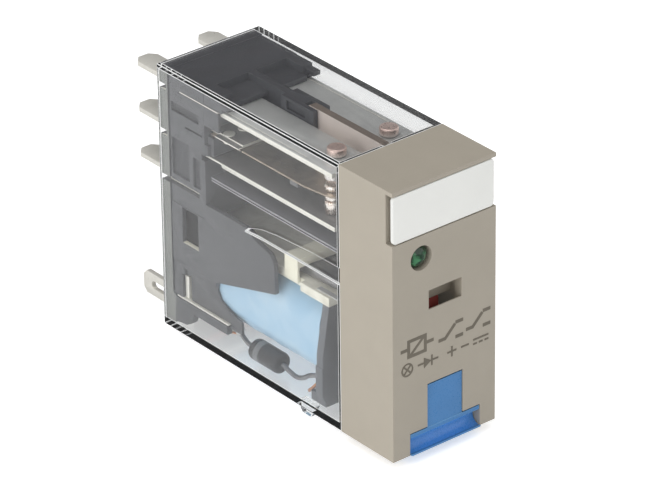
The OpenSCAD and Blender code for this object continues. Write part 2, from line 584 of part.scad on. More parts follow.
base();
clear_case();
front_cap();
nameplate();
test_slide();
led();
led_board();
led_resistor();
led_leads();
no_terminal_left();
no_terminal_right();
com_terminal_left();
com_terminal_right();
nc_terminal_left();
nc_terminal_right();
no_contacts();
nc_contacts();
spring_roots();
spring_rivets();
moving_spring_left();
moving_spring_right();
moving_contacts_left();
moving_contacts_right();
lifting_card();
armature();
indicator_flag();
hinge_spring();
yoke();
core();
bobbin();
coil_winding();
coil_tape();
insulation_plate();
coil_terminal_left();
coil_terminal_right();
diode();
diode_leads();
coil_wire_tails();
solder_joints();
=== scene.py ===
import math

import bmesh
import bpy
from mathutils import Matrix, Vector


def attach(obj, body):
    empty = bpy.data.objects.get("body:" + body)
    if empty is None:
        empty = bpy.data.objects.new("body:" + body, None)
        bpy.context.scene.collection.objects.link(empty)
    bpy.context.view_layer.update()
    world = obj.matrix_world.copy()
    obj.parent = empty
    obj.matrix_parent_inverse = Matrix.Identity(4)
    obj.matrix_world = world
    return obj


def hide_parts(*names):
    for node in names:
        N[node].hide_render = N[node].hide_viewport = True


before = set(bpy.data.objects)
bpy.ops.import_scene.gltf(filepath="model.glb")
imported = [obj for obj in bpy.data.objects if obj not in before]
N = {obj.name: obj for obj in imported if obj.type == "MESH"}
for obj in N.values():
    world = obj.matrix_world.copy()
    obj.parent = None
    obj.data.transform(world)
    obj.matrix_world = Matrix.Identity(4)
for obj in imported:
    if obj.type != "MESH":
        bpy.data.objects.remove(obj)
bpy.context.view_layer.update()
MM = 0.001
scene = bpy.context.scene
scene.view_settings.view_transform = "Standard"
scene.view_settings.look = "None"


def P(x, y, z):
    """Point of the part's own drawing (front face y 0, bottom z 0, mm) in the row frame, metres."""
    return Vector((x * MM, (y - 35.3) * MM, (z - 14.4) * MM))


# ------------------------------------------------------------------ materials


def new_mat(name):
    m = bpy.data.materials.new(name)
    m.use_nodes = True
    nt = m.node_tree
    nt.nodes.clear()
    out = nt.nodes.new("ShaderNodeOutputMaterial")
    return m, nt, out


def coords(nt, scale=(1, 1, 1)):
    """Object coordinates in millimetres."""
    t = nt.nodes.new("ShaderNodeTexCoord")
    mp = nt.nodes.new("ShaderNodeMapping")
    mp.inputs["Scale"].default_value = [1000 * s for s in scale]
    nt.links.new(t.outputs["Object"], mp.inputs["Vector"])
    return mp.outputs["Vector"]


def noise(nt, vec, scale, detail=2.0, rough=0.5, dist=0.0):
    n = nt.nodes.new("ShaderNodeTexNoise")
    n.inputs["Scale"].default_value = scale
    n.inputs["Detail"].default_value = detail
    n.inputs["Roughness"].default_value = rough
    n.inputs["Distortion"].default_value = dist
    nt.links.new(vec, n.inputs["Vector"])
    return n.outputs["Fac"]


def ramp(nt, fac, stops, interp="LINEAR"):
    r = nt.nodes.new("ShaderNodeValToRGB")
    r.color_ramp.interpolation = interp
    els = r.color_ramp.elements
    while len(els) > 1:
        els.remove(els[-1])
    for i, (pos, col) in enumerate(stops):
        e = els[0] if i == 0 else els.new(pos)
        e.position = pos
        e.color = (*col, 1)
    nt.links.new(fac, r.inputs["Fac"])
    return r.outputs["Color"]


def to_range(nt, fac, a, b, lo=0.3, hi=0.7):
    m = nt.nodes.new("ShaderNodeMapRange")
    m.inputs["From Min"].default_value = lo
    m.inputs["From Max"].default_value = hi
    m.inputs["To Min"].default_value = a
    m.inputs["To Max"].default_value = b
    nt.links.new(fac, m.inputs["Value"])
    return m.outputs["Result"]


def bump(nt, height, dist_mm, strength=1.0, after=None):
    b = nt.nodes.new("ShaderNodeBump")
    b.inputs["Strength"].default_value = strength
    b.inputs["Distance"].default_value = dist_mm * MM
    nt.links.new(height, b.inputs["Height"])
    if after is not None:
        nt.links.new(after, b.inputs["Normal"])
    return b.outputs["Normal"]


def mul(c, k):
    return tuple(min(1.0, x * k) for x in c)


def principled(nt, out):
    p = nt.nodes.new("ShaderNodeBsdfPrincipled")
    nt.links.new(p.outputs[0], out.inputs["Surface"])
    return p


def plastic(name, col, rough=0.42, var=0.05, grain=7.0, depth=0.004, ior=1.5, coat=0.0, cloud=0.35):
    m, nt, out = new_mat(name)
    p = principled(nt, out)
    v = coords(nt)
    big = noise(nt, v, cloud, 3.0, 0.55)
    fine = noise(nt, v, grain, 2.0, 0.6)
    nt.links.new(ramp(nt, big, [(0.3, mul(col, 1 - var)), (0.7, mul(col, 1 + var))]), p.inputs["Base Color"])
    nt.links.new(to_range(nt, fine, rough - 0.06, rough + 0.08), p.inputs["Roughness"])
    nt.links.new(bump(nt, fine, depth), p.inputs["Normal"])
    p.inputs["IOR"].default_value = ior
    p.inputs["Coat Weight"].default_value = coat
    p.inputs["Coat Roughness"].default_value = 0.15
    return m


def metal(name, col, dark=None, rough=0.28, brush=(0.6, 6, 6), depth=0.003, metallic=1.0, spots=0.5):
    m, nt, out = new_mat(name)
    p = principled(nt, out)
    v = coords(nt, brush)
    line = noise(nt, v, 2.2, 4.0, 0.65)
    cloud = noise(nt, coords(nt), spots, 4.0, 0.6, 0.6)
    dark = dark or mul(col, 0.82)
    nt.links.new(ramp(nt, cloud, [(0.34, dark), (0.6, col)]), p.inputs["Base Color"])
    nt.links.new(to_range(nt, line, rough - 0.08, rough + 0.12), p.inputs["Roughness"])
    nt.links.new(bump(nt, line, depth), p.inputs["Normal"])
    p.inputs["Metallic"].default_value = metallic
    return m


def clear(name, col, ior=1.585, rough=0.0, wave=0.35, depth=0.0015, let=(0.96, 0.965, 0.965), solid=0.0):
    """Clear moulded plastic. Lamps and the light that bounces inside pass straight through it."""
    m, nt, out = new_mat(name)
    p = nt.nodes.new("ShaderNodeBsdfPrincipled")
    p.inputs["Base Color"].default_value = (*col, 1)
    p.inputs["Transmission Weight"].default_value = 1.0 - solid
    p.inputs["IOR"].default_value = ior
    p.inputs["Roughness"].default_value = rough
    v = coords(nt)
    nt.links.new(bump(nt, noise(nt, v, wave, 2.0), depth), p.inputs["Normal"])
    t = nt.nodes.new("ShaderNodeBsdfTransparent")
    t.inputs["Color"].default_value = (*let, 1)
    path = nt.nodes.new("ShaderNodeLightPath")
    either = nt.nodes.new("ShaderNodeMath")
    either.operation = "MAXIMUM"
    nt.links.new(path.outputs["Is Shadow Ray"], either.inputs[0])
    nt.links.new(path.outputs["Is Diffuse Ray"], either.inputs[1])
    mix = nt.nodes.new("ShaderNodeMixShader")
    nt.links.new(either.outputs[0], mix.inputs["Fac"])
    nt.links.new(p.outputs[0], mix.inputs[1])
    nt.links.new(t.outputs[0], mix.inputs[2])
    nt.links.new(mix.outputs[0], out.inputs["Surface"])
    return m


GREIGE = (0.405, 0.365, 0.300)
M = {
    "cap": plastic("cap_greige", (0.375, 0.338, 0.278), rough=0.46, var=0.02, grain=9.0, depth=0.0035),
    "base": plastic("base_grey", (0.070, 0.072, 0.079), rough=0.40, var=0.06, grain=6.0, depth=0.005),
    "spool": plastic("spool_grey", (0.105, 0.110, 0.122), rough=0.38, var=0.08, grain=5.0, depth=0.004),
    "label": plastic("label_white", (0.70, 0.705, 0.68), rough=0.36, var=0.012, grain=8.0, depth=0.0015),
    "slide": plastic("slide_blue", (0.058, 0.190, 0.420), rough=0.30, var=0.05, grain=8.0, depth=0.002, coat=0.15),
    # painted light: a lighter copy of the slide blue for the faces of its finger scoop
    "slide_scoop_lit": plastic("scoop_blue_painted_light", (0.070, 0.255, 0.640), rough=0.28, var=0.05, grain=8.0, depth=0.002, coat=0.2),
    # painted highlight: a lighter blue for the slide's rounded edges
    "slide_edge_highlight": plastic("slide_rim_highlight_blue", (0.150, 0.350, 0.600), rough=0.26, var=0.04, grain=8.0, depth=0.001, coat=0.2),
    # painted shade: a darker copy of the cap colour for the faces that look forward
    "cap_front_shade": plastic("cap_greige_front_shade", (0.335, 0.303, 0.250), rough=0.47, var=0.02, grain=9.0, depth=0.0035),
    # painted shade: a dark grey for the upper part of the card, which is one moulding with its cream feet
    "card_upper_shade": plastic("card_grey_shade", (0.120, 0.118, 0.125), rough=0.45, var=0.05, grain=6.0, depth=0.003),
    "card": plastic("card_cream", (0.80, 0.77, 0.63), rough=0.45, var=0.03, grain=6.0, depth=0.003),
    "insulator": plastic("insulator_grey", (0.085, 0.083, 0.092), rough=0.35, var=0.06, grain=6.0, depth=0.002),
    "flag": plastic("flag_red", (0.30, 0.060, 0.050), rough=0.42, var=0.06),
    "diode": plastic("diode_black", (0.016, 0.016, 0.019), rough=0.30, var=0.2, grain=5.0, depth=0.006),
    "red_wire": plastic("wire_red", (0.52, 0.03, 0.022), rough=0.35, var=0.06),
    "ink": plastic("ink_grey", (0.135, 0.118, 0.090), rough=0.55, var=0.08, grain=14.0, depth=0.002),
    "strip": metal("strip_tin", (0.86, 0.84, 0.77), (0.79, 0.77, 0.70), rough=0.34, brush=(6, 0.6, 6), metallic=0.45),
    # painted shade: a darker copy of the tin, for the NO terminals' top faces and the whole hinge spring
    "strip_shaded": metal("strip_tin_shaded", (0.54, 0.54, 0.525), (0.48, 0.48, 0.47), rough=0.36, brush=(6, 0.6, 6), metallic=0.4),
    # painted shade: a near-black copy of the tin for the flat faces of the COM and NC strips inside the case
    "strip_inner_shade": metal("strip_tin_inner_shade", (0.19, 0.18, 0.175), (0.15, 0.145, 0.14), rough=0.40, brush=(6, 0.6, 6), metallic=0.4),
    "silver": metal("contact_silver", (0.90, 0.85, 0.80), (0.70, 0.55, 0.46), rough=0.24, brush=(2, 2, 2), spots=1.2),
    "spring": metal("spring_bronze", (0.46, 0.38, 0.30), (0.34, 0.28, 0.22), rough=0.32, brush=(5, 0.5, 5)),
    "steel": metal("steel_nickel", (0.27, 0.265, 0.27), (0.20, 0.195, 0.20), rough=0.34, brush=(4, 0.6, 4)),
    "solder": metal("solder_tin", (0.78, 0.78, 0.77), (0.5, 0.5, 0.5), rough=0.26, brush=(2, 2, 2), depth=0.006, spots=1.5),
    "yoke": metal("yoke_zinc", (0.90, 0.87, 0.76), (0.74, 0.71, 0.60), rough=0.46, brush=(3, 0.5, 3), metallic=0.35),
    "clear": clear("case_clear", (0.985, 0.99, 0.99)),
    # painted highlight: a pale, mostly solid copy of the clear plastic for the case's rounded rims and the groove's
    # faces
    "clear_edge_highlight": clear("case_edge_highlight", (0.93, 0.94, 0.94), rough=0.30, solid=0.72, let=(0.9, 0.9, 0.9)),
    # painted sheen: a faintly milky copy of the clear plastic for the far side wall
    "clear_far_sheen": clear("case_far_sheen", (0.96, 0.965, 0.965), rough=0.02, solid=0.04),
    # painted shade: a darker copy of the base grey for its upward faces high up
    "base_top_shade": plastic("base_top_painted_shade", (0.042, 0.042, 0.047), rough=0.42, var=0.06, grain=6.0, depth=0.005),
    # painted light: a lighter copy of the base grey for the outward side faces of its rear seat
    "base_seat_lit": plastic("seat_side_painted_light", (0.185, 0.190, 0.178), rough=0.42, var=0.05, grain=6.0, depth=0.004),
    # painted highlight: a lighter grey for the base's rounded edges
    "base_edge_highlight": plastic("base_rim_highlight", (0.185, 0.187, 0.192), rough=0.36, var=0.05, grain=6.0, depth=0.003),
    # painted shade: near-black for the side faces deep in the cavity behind the base's window
    "base_hole_shade": plastic("base_recess_shade", (0.003, 0.003, 0.003), rough=0.9, var=0.05, grain=6.0, depth=0.003),
    # painted shade: a darker grey for the side faces of the pocket high on the base
    "base_pocket_shade": plastic("base_pocket_shade", (0.046, 0.047, 0.053), rough=0.5, var=0.06, grain=6.0, depth=0.004),
    # painted highlight: a lighter grey for the insulation plate's outer side faces
    "insulator_edge_highlight": plastic("insulator_edge_highlight", (0.36, 0.355, 0.38), rough=0.4, var=0.04, grain=6.0, depth=0.002),
    # painted light: a lighter copy of the cap colour for the side faces of the cap's partition
    "tongue": plastic("tongue_beige", (0.640, 0.560, 0.515), rough=0.46, var=0.03, grain=9.0, depth=0.003),
    # painted shade: a dark brown copy of the cap colour for the partition's top faces
    "tongue_top": plastic("tongue_brown", (0.150, 0.115, 0.090), rough=0.5, var=0.05, grain=9.0, depth=0.003),
    # painted highlight: a lighter copy of the cap colour for rounded edges (not given to any part)
    "cap_edge_highlight": plastic("cap_rim_highlight", (0.47, 0.43, 0.36), rough=0.42, var=0.02, grain=9.0, depth=0.003),
}


def copper_mat():
    """Enamelled wire: fine even turns round the spool."""
    m, nt, out = new_mat("copper_wire")
    p = principled(nt, out)
    v = coords(nt)
    w = nt.nodes.new("ShaderNodeTexWave")
    w.wave_type = "BANDS"
    w.bands_direction = "Y"
    w.inputs["Scale"].default_value = 2.6
    w.inputs["Distortion"].default_value = 0.3
    nt.links.new(v, w.inputs["Vector"])
    nt.links.new(ramp(nt, w.outputs["Fac"], [(0.1, (0.32, 0.12, 0.05)), (0.8, (0.78, 0.38, 0.2))]), p.inputs["Base Color"])
    nt.links.new(bump(nt, w.outputs["Fac"], 0.03), p.inputs["Normal"])
    p.inputs["Metallic"].default_value = 0.85
    p.inputs["Roughness"].default_value = 0.28
    p.inputs["Coat Weight"].default_value = 0.4
    return m


def tape_mat():
    """Polyester tape: satin film, cloudy where it lifts off the winding, thin lines along the wrap."""
    m, nt, out = new_mat("tape_blue")
    p = principled(nt, out)
    v = coords(nt)
    cloud = noise(nt, v, 0.22, 3.0, 0.5, 0.4)
    lines = noise(nt, coords(nt, (0.15, 2.6, 0.15)), 1.4, 3.0, 0.6)
    nt.links.new(
        ramp(nt, cloud, [(0.3, (0.30, 0.49, 0.66)), (0.52, (0.37, 0.55, 0.70)), (0.72, (0.47, 0.62, 0.73))]),
        p.inputs["Base Color"],
    )
    nt.links.new(to_range(nt, cloud, 0.30, 0.46), p.inputs["Roughness"])
    nt.links.new(bump(nt, lines, 0.012), p.inputs["Normal"])
    p.inputs["Subsurface Weight"].default_value = 0.0
    p.inputs["Coat Weight"].default_value = 0.35
    p.inputs["Coat Roughness"].default_value = 0.2
    return m


def board_mat():
    m, nt, out = new_mat("board_green")
    p = principled(nt, out)
    v = coords(nt)
    weave = nt.nodes.new("ShaderNodeTexChecker")
    weave.inputs["Scale"].default_value = 4.0
    nt.links.new(v, weave.inputs["Vector"])
    weave.inputs["Color1"].default_value = (0.018, 0.075, 0.034, 1)
    weave.inputs["Color2"].default_value = (0.022, 0.088, 0.04, 1)
    nt.links.new(weave.outputs["Color"], p.inputs["Base Color"])
    nt.links.new(bump(nt, noise(nt, v, 3.0), 0.004), p.inputs["Normal"])
    p.inputs["Roughness"].default_value = 0.22
    p.inputs["Coat Weight"].default_value = 0.5
    return m


def banded(name, stops, axis="Y", y0=0.0, y1=1.0, rough=0.35, interp="CONSTANT", depth=0.004, metallic=0.0):
    """Colour bands along one axis between y0 and y1, in the drawing's mm."""
    m, nt, out = new_mat(name)
    p = principled(nt, out)
    v = coords(nt)
    sep = nt.nodes.new("ShaderNodeSeparateXYZ")
    nt.links.new(v, sep.inputs[0])
    off = {"X": 0.0, "Y": 35.3, "Z": 14.4}[axis]
    mr = nt.nodes.new("ShaderNodeMapRange")
    mr.inputs["From Min"].default_value = y0 - off
    mr.inputs["From Max"].default_value = y1 - off
    nt.links.new(sep.outputs[axis], mr.inputs["Value"])
    nt.links.new(ramp(nt, mr.outputs["Result"], stops, interp), p.inputs["Base Color"])
    fine = noise(nt, v, 6.0, 3.0, 0.6)
    nt.links.new(to_range(nt, fine, rough - 0.06, rough + 0.1), p.inputs["Roughness"])
    nt.links.new(bump(nt, fine, depth), p.inputs["Normal"])
    p.inputs["Metallic"].default_value = metallic
    return m


M["copper"] = copper_mat()
M["tape"] = tape_mat()
M["board"] = board_mat()
M["diode"] = banded("diode_banded", [(0.0, (0.017, 0.017, 0.020)), (0.62, (0.16, 0.165, 0.17)), (0.80, (0.017, 0.017, 0.020))],
                    "Y", 18.35, 22.55, rough=0.30, depth=0.008)
M["resistor"] = banded("resistor_banded",
                       [(0.0, (0.50, 0.36, 0.20)), (0.16, (0.10, 0.035, 0.012)), (0.25, (0.50, 0.36, 0.20)),
                        (0.36, (0.02, 0.02, 0.02)), (0.45, (0.50, 0.36, 0.20)), (0.56, (0.45, 0.05, 0.02)),
                        (0.65, (0.50, 0.36, 0.20)), (0.80, (0.55, 0.38, 0.08)), (0.88, (0.50, 0.36, 0.20))],
                       "X", -3.9, -0.7, rough=0.3)
# contact heads: the copper-pink towards the top is their own colour, the pale silver towards the bottom is painted
# highlight
M["rivet"] = banded("rivet_copper_and_highlight", [(0.0, (0.84, 0.80, 0.77)), (0.55, (0.80, 0.64, 0.58)), (1.0, (0.74, 0.56, 0.50))],
                    "Z", 26.7, 27.6, rough=0.30, interp="LINEAR", depth=0.001, metallic=0.8)


def led_mat():
    m, nt, out = new_mat("lens_green")
    p = principled(nt, out)
    v = coords(nt)
    nt.links.new(ramp(nt, noise(nt, v, 0.9, 3.0, 0.6, 0.8), [(0.35, (0.003, 0.018, 0.007)), (0.55, (0.005, 0.04, 0.015)), (0.66, (0.05, 0.20, 0.09))]),
                 p.inputs["Base Color"])
    nt.links.new(bump(nt, noise(nt, v, 1.6, 2.0), 0.22), p.inputs["Normal"])
    p.inputs["Transmission Weight"].default_value = 0.1
    p.inputs["IOR"].default_value = 1.52
    p.inputs["Roughness"].default_value = 0.06
    p.inputs["Coat Weight"].default_value = 0.6
    p.inputs["Coat Roughness"].default_value = 0.03
    return m


M["lens"] = led_mat()

# ------------------------------------------------------------------ CAD nodes


def smooth_group():
    """Shade smooth, sharp where two faces meet at more than 32 degrees."""
    g = bpy.data.node_groups.new("smooth_by_angle", "GeometryNodeTree")
    g.interface.new_socket("Geometry", in_out="INPUT", socket_type="NodeSocketGeometry")
    g.interface.new_socket("Geometry", in_out="OUTPUT", socket_type="NodeSocketGeometry")
    gi, go = g.nodes.new("NodeGroupInput"), g.nodes.new("NodeGroupOutput")
    face = g.nodes.new("GeometryNodeSetShadeSmooth")
    face.domain = "FACE"
    edge = g.nodes.new("GeometryNodeSetShadeSmooth")
    edge.domain = "EDGE"
    ang = g.nodes.new("GeometryNodeInputMeshEdgeAngle")
    cmp_ = g.nodes.new("FunctionNodeCompare")
    cmp_.operation = "LESS_THAN"
    cmp_.inputs[1].default_value = math.radians(32)
    g.links.new(gi.outputs[0], face.inputs[0])
    g.links.new(ang.outputs["Unsigned Angle"], cmp_.inputs[0])
    g.links.new(face.outputs[0], edge.inputs[0])
    g.links.new(cmp_.outputs[0], edge.inputs["Shade Smooth"])
    g.links.new(edge.outputs[0], go.inputs[0])
    return g


SMOOTH = smooth_group()


def soften(ob, width=0.06, segs=2, angle=35):
    """Rounds the edges of a CAD node with modifiers only."""
    for a in list(ob.data.attributes):
        if a.name in ("custom_normal", "sharp_edge", "sharp_face"):
            ob.data.attributes.remove(a)
    w = ob.modifiers.new("weld", "WELD")
    w.merge_threshold = 2e-6
    d = ob.modifiers.new("flat", "DECIMATE")
    d.decimate_type = "DISSOLVE"
    d.angle_limit = math.radians(0.6)
    d.delimit = {"MATERIAL"}
    if width:
        b = ob.modifiers.new("round", "BEVEL")
        b.limit_method = "ANGLE"
        b.angle_limit = math.radians(angle)
        b.width = width * MM
        b.segments = segs
        b.harden_normals = False
        b.use_clamp_overlap = True
        b.miter_outer = "MITER_ARC"
    g = ob.modifiers.new("smooth", "NODES")
    g.node_group = SMOOTH
    if ob in (N["front_cap"], N["clear_case"]):
        w = ob.modifiers.new("weighted", "WEIGHTED_NORMAL")
        w.mode = "FACE_AREA"
        w.weight = 100
        w.keep_sharp = True


def dress(node, mat, width=0.06, segs=2, angle=35, rim=None):
    ob = N[node]
    soften(ob, width, segs, angle)
    if len(ob.material_slots) == 0:
        ob.data.materials.append(mat)
    for s in ob.material_slots:
        s.material = mat
    if rim:
        ob.data.materials.append(rim)
        ob.modifiers["round"].material = len(ob.data.materials) - 1


def tint(node, mat, test):
    """Gives another material to the faces for which test(centre, normal) holds; centre in drawing mm."""
    ob = N[node]
    ob.data.materials.append(mat)
    k = len(ob.data.materials) - 1
    turn = ob.matrix_world.to_3x3()
    for f in ob.data.polygons:
        c = ob.matrix_world @ f.center
        n = (turn @ f.normal).normalized()
        if test(Vector((c.x / MM, c.y / MM + 35.3, c.z / MM + 14.4)), n):
            f.material_index = k


dress("front_cap", M["cap"], 0.12, 3)
# the back of the cap's wall stays triangulated: its outline has holes and webs
for k in range(3):
    N["front_cap"].data.materials.append(M["cap"])
for i, f in enumerate(N["front_cap"].data.polygons):
    c = N["front_cap"].matrix_world @ f.center
    if c.y / MM + 35.3 > 0.4 and c.y / MM + 35.3 < 6.0 and f.material_index == 0:
        f.material_index = i % 4
# painted shade: the forward-facing faces of the cap get the darker copy of its colour
tint("front_cap", M["cap_front_shade"], lambda c, n: n.y < -0.9 and c.y < 0.05)
# painted light: the partition's side faces get the lighter copy of the cap colour
tint("front_cap", M["tongue"], lambda c, n: abs(abs(c.x) - 0.42) < 0.03 and c.y > 7.6)
# painted shade: the partition's top faces get the dark brown copy
tint("front_cap", M["tongue_top"], lambda c, n: abs(c.x) < 0.4 and c.y > 8.3 and c.z > 27.8 and n.z > 0.5)
# painted highlight: the rounded edges of the base get the lighter grey
dress("base", M["base"], 0.07, 2, rim=M["base_edge_highlight"])
# painted shade: the base's upward faces above z 22 get the darker grey
tint("base", M["base_top_shade"], lambda c, n: n.z > 0.9 and c.z > 22)
# painted light: the outward side faces of the rear seat get the lighter grey
tint("base", M["base_seat_lit"], lambda c, n: abs(n.x) > 0.9 and abs(c.x) > 5.65 and c.y > 33.9)
# painted shade: the cavity's side faces behind the window get the near-black
tint("base", M["base_hole_shade"], lambda c, n: abs(n.x) > 0.9 and abs(abs(c.x) - 4.86) < 0.03 and 29.4 < c.y and 8 < c.z < 14.4)
tint("base", M["strip"], lambda c, n: c.y > 34.25 and 5.15 < abs(c.x) < 5.68 and (abs(c.z - 26.5) < 0.32 or abs(c.z - 21.5) < 0.32) and abs(n.y) < 0.9)
# painted light: these upward base faces inside the window get the cream card colour so they look lit
tint("base", M["card"], lambda c, n: n.z > 0.9 and abs(c.z - 10.3) < 0.03 and 29.6 < c.y < 32.4 and abs(c.x) > 4.8)
# painted shade: the pocket's side faces above z 16 get the darker grey
tint("base", M["base_pocket_shade"], lambda c, n: abs(n.x) > 0.9 and abs(abs(c.x) - 5.3) < 0.04 and c.z > 16)
# painted highlight: the rounded rims of the case get the pale solid copy
dress("clear_case", M["clear"], 0.2, 3, rim=M["clear_edge_highlight"])
# painted highlight: the groove's faces on the side wall get the pale solid copy
tint("clear_case", M["clear_edge_highlight"], lambda c, n: 6.14 < abs(c.x) < 6.34 and abs(n.x) < 0.3 and 7.8 < c.y < 22.2 and 15.5 < c.z < 18.0)
# painted sheen: the far side wall gets the faintly milky copy
tint("clear_case", M["clear_far_sheen"], lambda c, n: 5.7 < c.x and abs(n.x) > 0.9)
# the side walls stay triangulated too, round the groove
for mat, side in ((M["clear"], -1), (M["clear_far_sheen"], 1)):
    ob = N["clear_case"]
    for k in range(4):
        ob.data.materials.append(mat)
    k = len(ob.data.materials) - 4
    for i, f in enumerate(ob.data.polygons):
        c = ob.matrix_world @ f.center
        if abs(f.normal.x) > 0.9 and side * c.x / MM > 5.6:
            f.material_index = k + i % 4
dress("nameplate", M["label"], 0.09, 3)
# painted highlight: the slide's rounded edges get the lighter blue
dress("test_slide", M["slide"], 0.07, 2, rim=M["slide_edge_highlight"])
# painted light: the finger scoop's faces get the lighter blue
tint("test_slide", M["slide_scoop_lit"], lambda c, n: 0.11 < c.y < 1.0 and 0.1 < c.z < 1.88 and abs(n.x) < 0.3)
dress("led_board", M["board"], 0.04)
for side in ("left", "right"):
    dress("no_terminal_" + side, M["strip"], 0.05)
    dress("com_terminal_" + side, M["strip"], 0.04)
    dress("nc_terminal_" + side, M["strip"], 0.05)
    dress("coil_terminal_" + side, M["strip"], 0.05)
    dress("moving_spring_" + side, M["spring"], 0.02, 1)
    dress("moving_contacts_" + side, M["silver"], 0.05, 2, 20)
    # painted shade: the top faces of the NO terminals get the darker tin
    tint("no_terminal_" + side, M["strip_shaded"], lambda c, n: n.z > 0.9 and c.y < 33)
    # painted shade: the flat faces of the COM and NC strips inside the case get the near-black tin
    tint("com_terminal_" + side, M["strip_inner_shade"], lambda c, n: abs(n.z) > 0.9 and c.y < 33)
    tint("nc_terminal_" + side, M["strip_inner_shade"], lambda c, n: abs(n.z) > 0.9 and c.y < 33)
# the NO contact heads get the banded copper with its painted highlight
dress("no_contacts", M["rivet"], 0.06, 2, 20)
dress("nc_contacts", M["silver"], 0.06, 2, 20)
dress("spring_roots", M["spring"], 0.02, 1)
dress("spring_rivets", M["strip"], 0.05, 2)
dress("lifting_card", M["card"], 0.08, 2)
# painted shade: the card's faces above z 15.2 get the dark grey
tint("lifting_card", M["card_upper_shade"], lambda c, n: c.z > 15.2)
dress("armature", M["steel"], 0.08, 2)
dress("indicator_flag", M["flag"], 0.06, 2)
# the whole hinge spring gets the darker copy of the tin
dress("hinge_spring", M["strip_shaded"], 0.02, 1)
dress("yoke", M["yoke"], 0.10, 2)
dress("core", M["steel"], 0.08, 2)
dress("bobbin", M["spool"], 0.09, 2)
dress("coil_winding", M["copper"], 0)
dress("insulation_plate", M["insulator"], 0.03)
# painted highlight: the insulation plate's outer side faces get the lighter grey
tint("insulation_plate", M["insulator_edge_highlight"], lambda c, n: abs(n.x) > 0.9 and abs(c.x) > 5.55)
dress("solder_joints", M["solder"], 0)

# ------------------------------------------------------------------ new pieces


def piece(name, bm, mat, body="housing", replaces=None, smooth=True, sharp=35):
    me = bpy.data.meshes.new(name)
    bmesh.ops.recalc_face_normals(bm, faces=bm.faces)
    for f in bm.faces:
        f.smooth = smooth
    for e in bm.edges:
        if len(e.link_faces) == 2:
            e.smooth = e.calc_face_angle(0.0) < math.radians(sharp)
    bm.to_mesh(me)
    bm.free()
    ob = bpy.data.objects.new(name, me)
    scene.collection.objects.link(ob)
    ob.data.materials.append(mat)
    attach(ob, body)
    if replaces:
        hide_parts(*([replaces] if isinstance(replaces, str) else replaces))
    return ob


def catmull(pts, n=8):
    out = []
    for i in range(len(pts) - 1):
        a, b = pts[max(0, i - 1)], pts[i]
        c, d = pts[i + 1], pts[min(len(pts) - 1, i + 2)]
        for k in range(n):
            t = k / n
            out.append(0.5 * (2 * b + (c - a) * t + (2 * a - 5 * b + 4 * c - d) * t * t + (3 * b - a - 3 * c + d) * t ** 3))
    out.append(pts[-1].copy())
    return out


def tube(bm, pts, r, sides=14, n=8, cap=True, smooth=True):
    """Sweeps a round section along a smoothed route, with rounded ends. Points in drawing mm."""
    path = [P(*q) for q in pts]
    if smooth:
        path = catmull(path, n)
    r *= MM
    heads = []
    for i in range(len(path)):
        h = path[min(len(path) - 1, i + 1)] - path[max(0, i - 1)]
        heads.append(h.normalized())
    m = Vector((0.31, 0.17, 0.93))
    rings = []
    first, last = 0, len(path) - 1
    for i, (q, h) in enumerate(zip(path, heads)):
        m = (m - h * m.dot(h)).normalized()
        s = h.cross(m)

        def ring(at, rad):
            return [bm.verts.new(at + (m * math.cos(2 * math.pi * k / sides) + s * math.sin(2 * math.pi * k / sides)) * rad)
                    for k in range(sides)]

        if i == first and cap:
            rings.append(ring(q - h * r * 0.30, r * 0.55))
            rings.append(ring(q - h * r * 0.15, r * 0.88))
        rings.append(ring(q, r))
        if i == last and cap:
            rings.append(ring(q + h * r * 0.15, r * 0.88))
            rings.append(ring(q + h * r * 0.30, r * 0.55))
    for a, b in zip(rings, rings[1:]):
        for k in range(sides):
            bm.faces.new((a[k], a[(k + 1) % sides], b[(k + 1) % sides], b[k]))
    bm.faces.new(list(reversed(rings[0])))
    bm.faces.new(rings[-1])


def lathe(bm, prof, origin, axis, segs=40):
    """Turns a profile of (radius, height) mm about an axis through origin (drawing mm)."""
    ax = Vector(axis).normalized()
    u = ax.orthogonal().normalized()
    w = ax.cross(u)
    o = P(*origin)
    rings = []
    for r, h in prof:
        if r < 1e-6:
            rings.append([bm.verts.new(o + ax * h * MM)])
        else:
            rings.append([bm.verts.new(o + ax * h * MM + (u * math.cos(2 * math.pi * k / segs) + w * math.sin(2 * math.pi * k / segs)) * r * MM)
                          for k in range(segs)])
    for a, b in zip(rings, rings[1:]):
        for k in range(segs):
            k2 = (k + 1) % segs
            if len(a) == 1 and len(b) == 1:
                continue
            if len(a) == 1:
                bm.faces.new((a[0], b[k2], b[k]))
            elif len(b) == 1:
                bm.faces.new((a[k], a[k2], b[0]))
            else:
                bm.faces.new((a[k], a[k2], b[k2], b[k]))
    for rg, rev in ((rings[0], True), (rings[-1], False)):
        if len(rg) > 1:
            bm.faces.new(list(reversed(rg)) if rev else rg)


def slab(bm, outline, y0, y1):
    """Prism whose outline lies in x and z (drawing mm), from y0 to y1."""
    a = [bm.verts.new(P(x, y0, z)) for x, z in outline]
    b = [bm.verts.new(P(x, y1, z)) for x, z in outline]
    n = len(outline)
    bm.faces.new(a)
    bm.faces.new(list(reversed(b)))
    for k in range(n):
        bm.faces.new((a[(k + 1) % n], a[k], b[k], b[(k + 1) % n]))


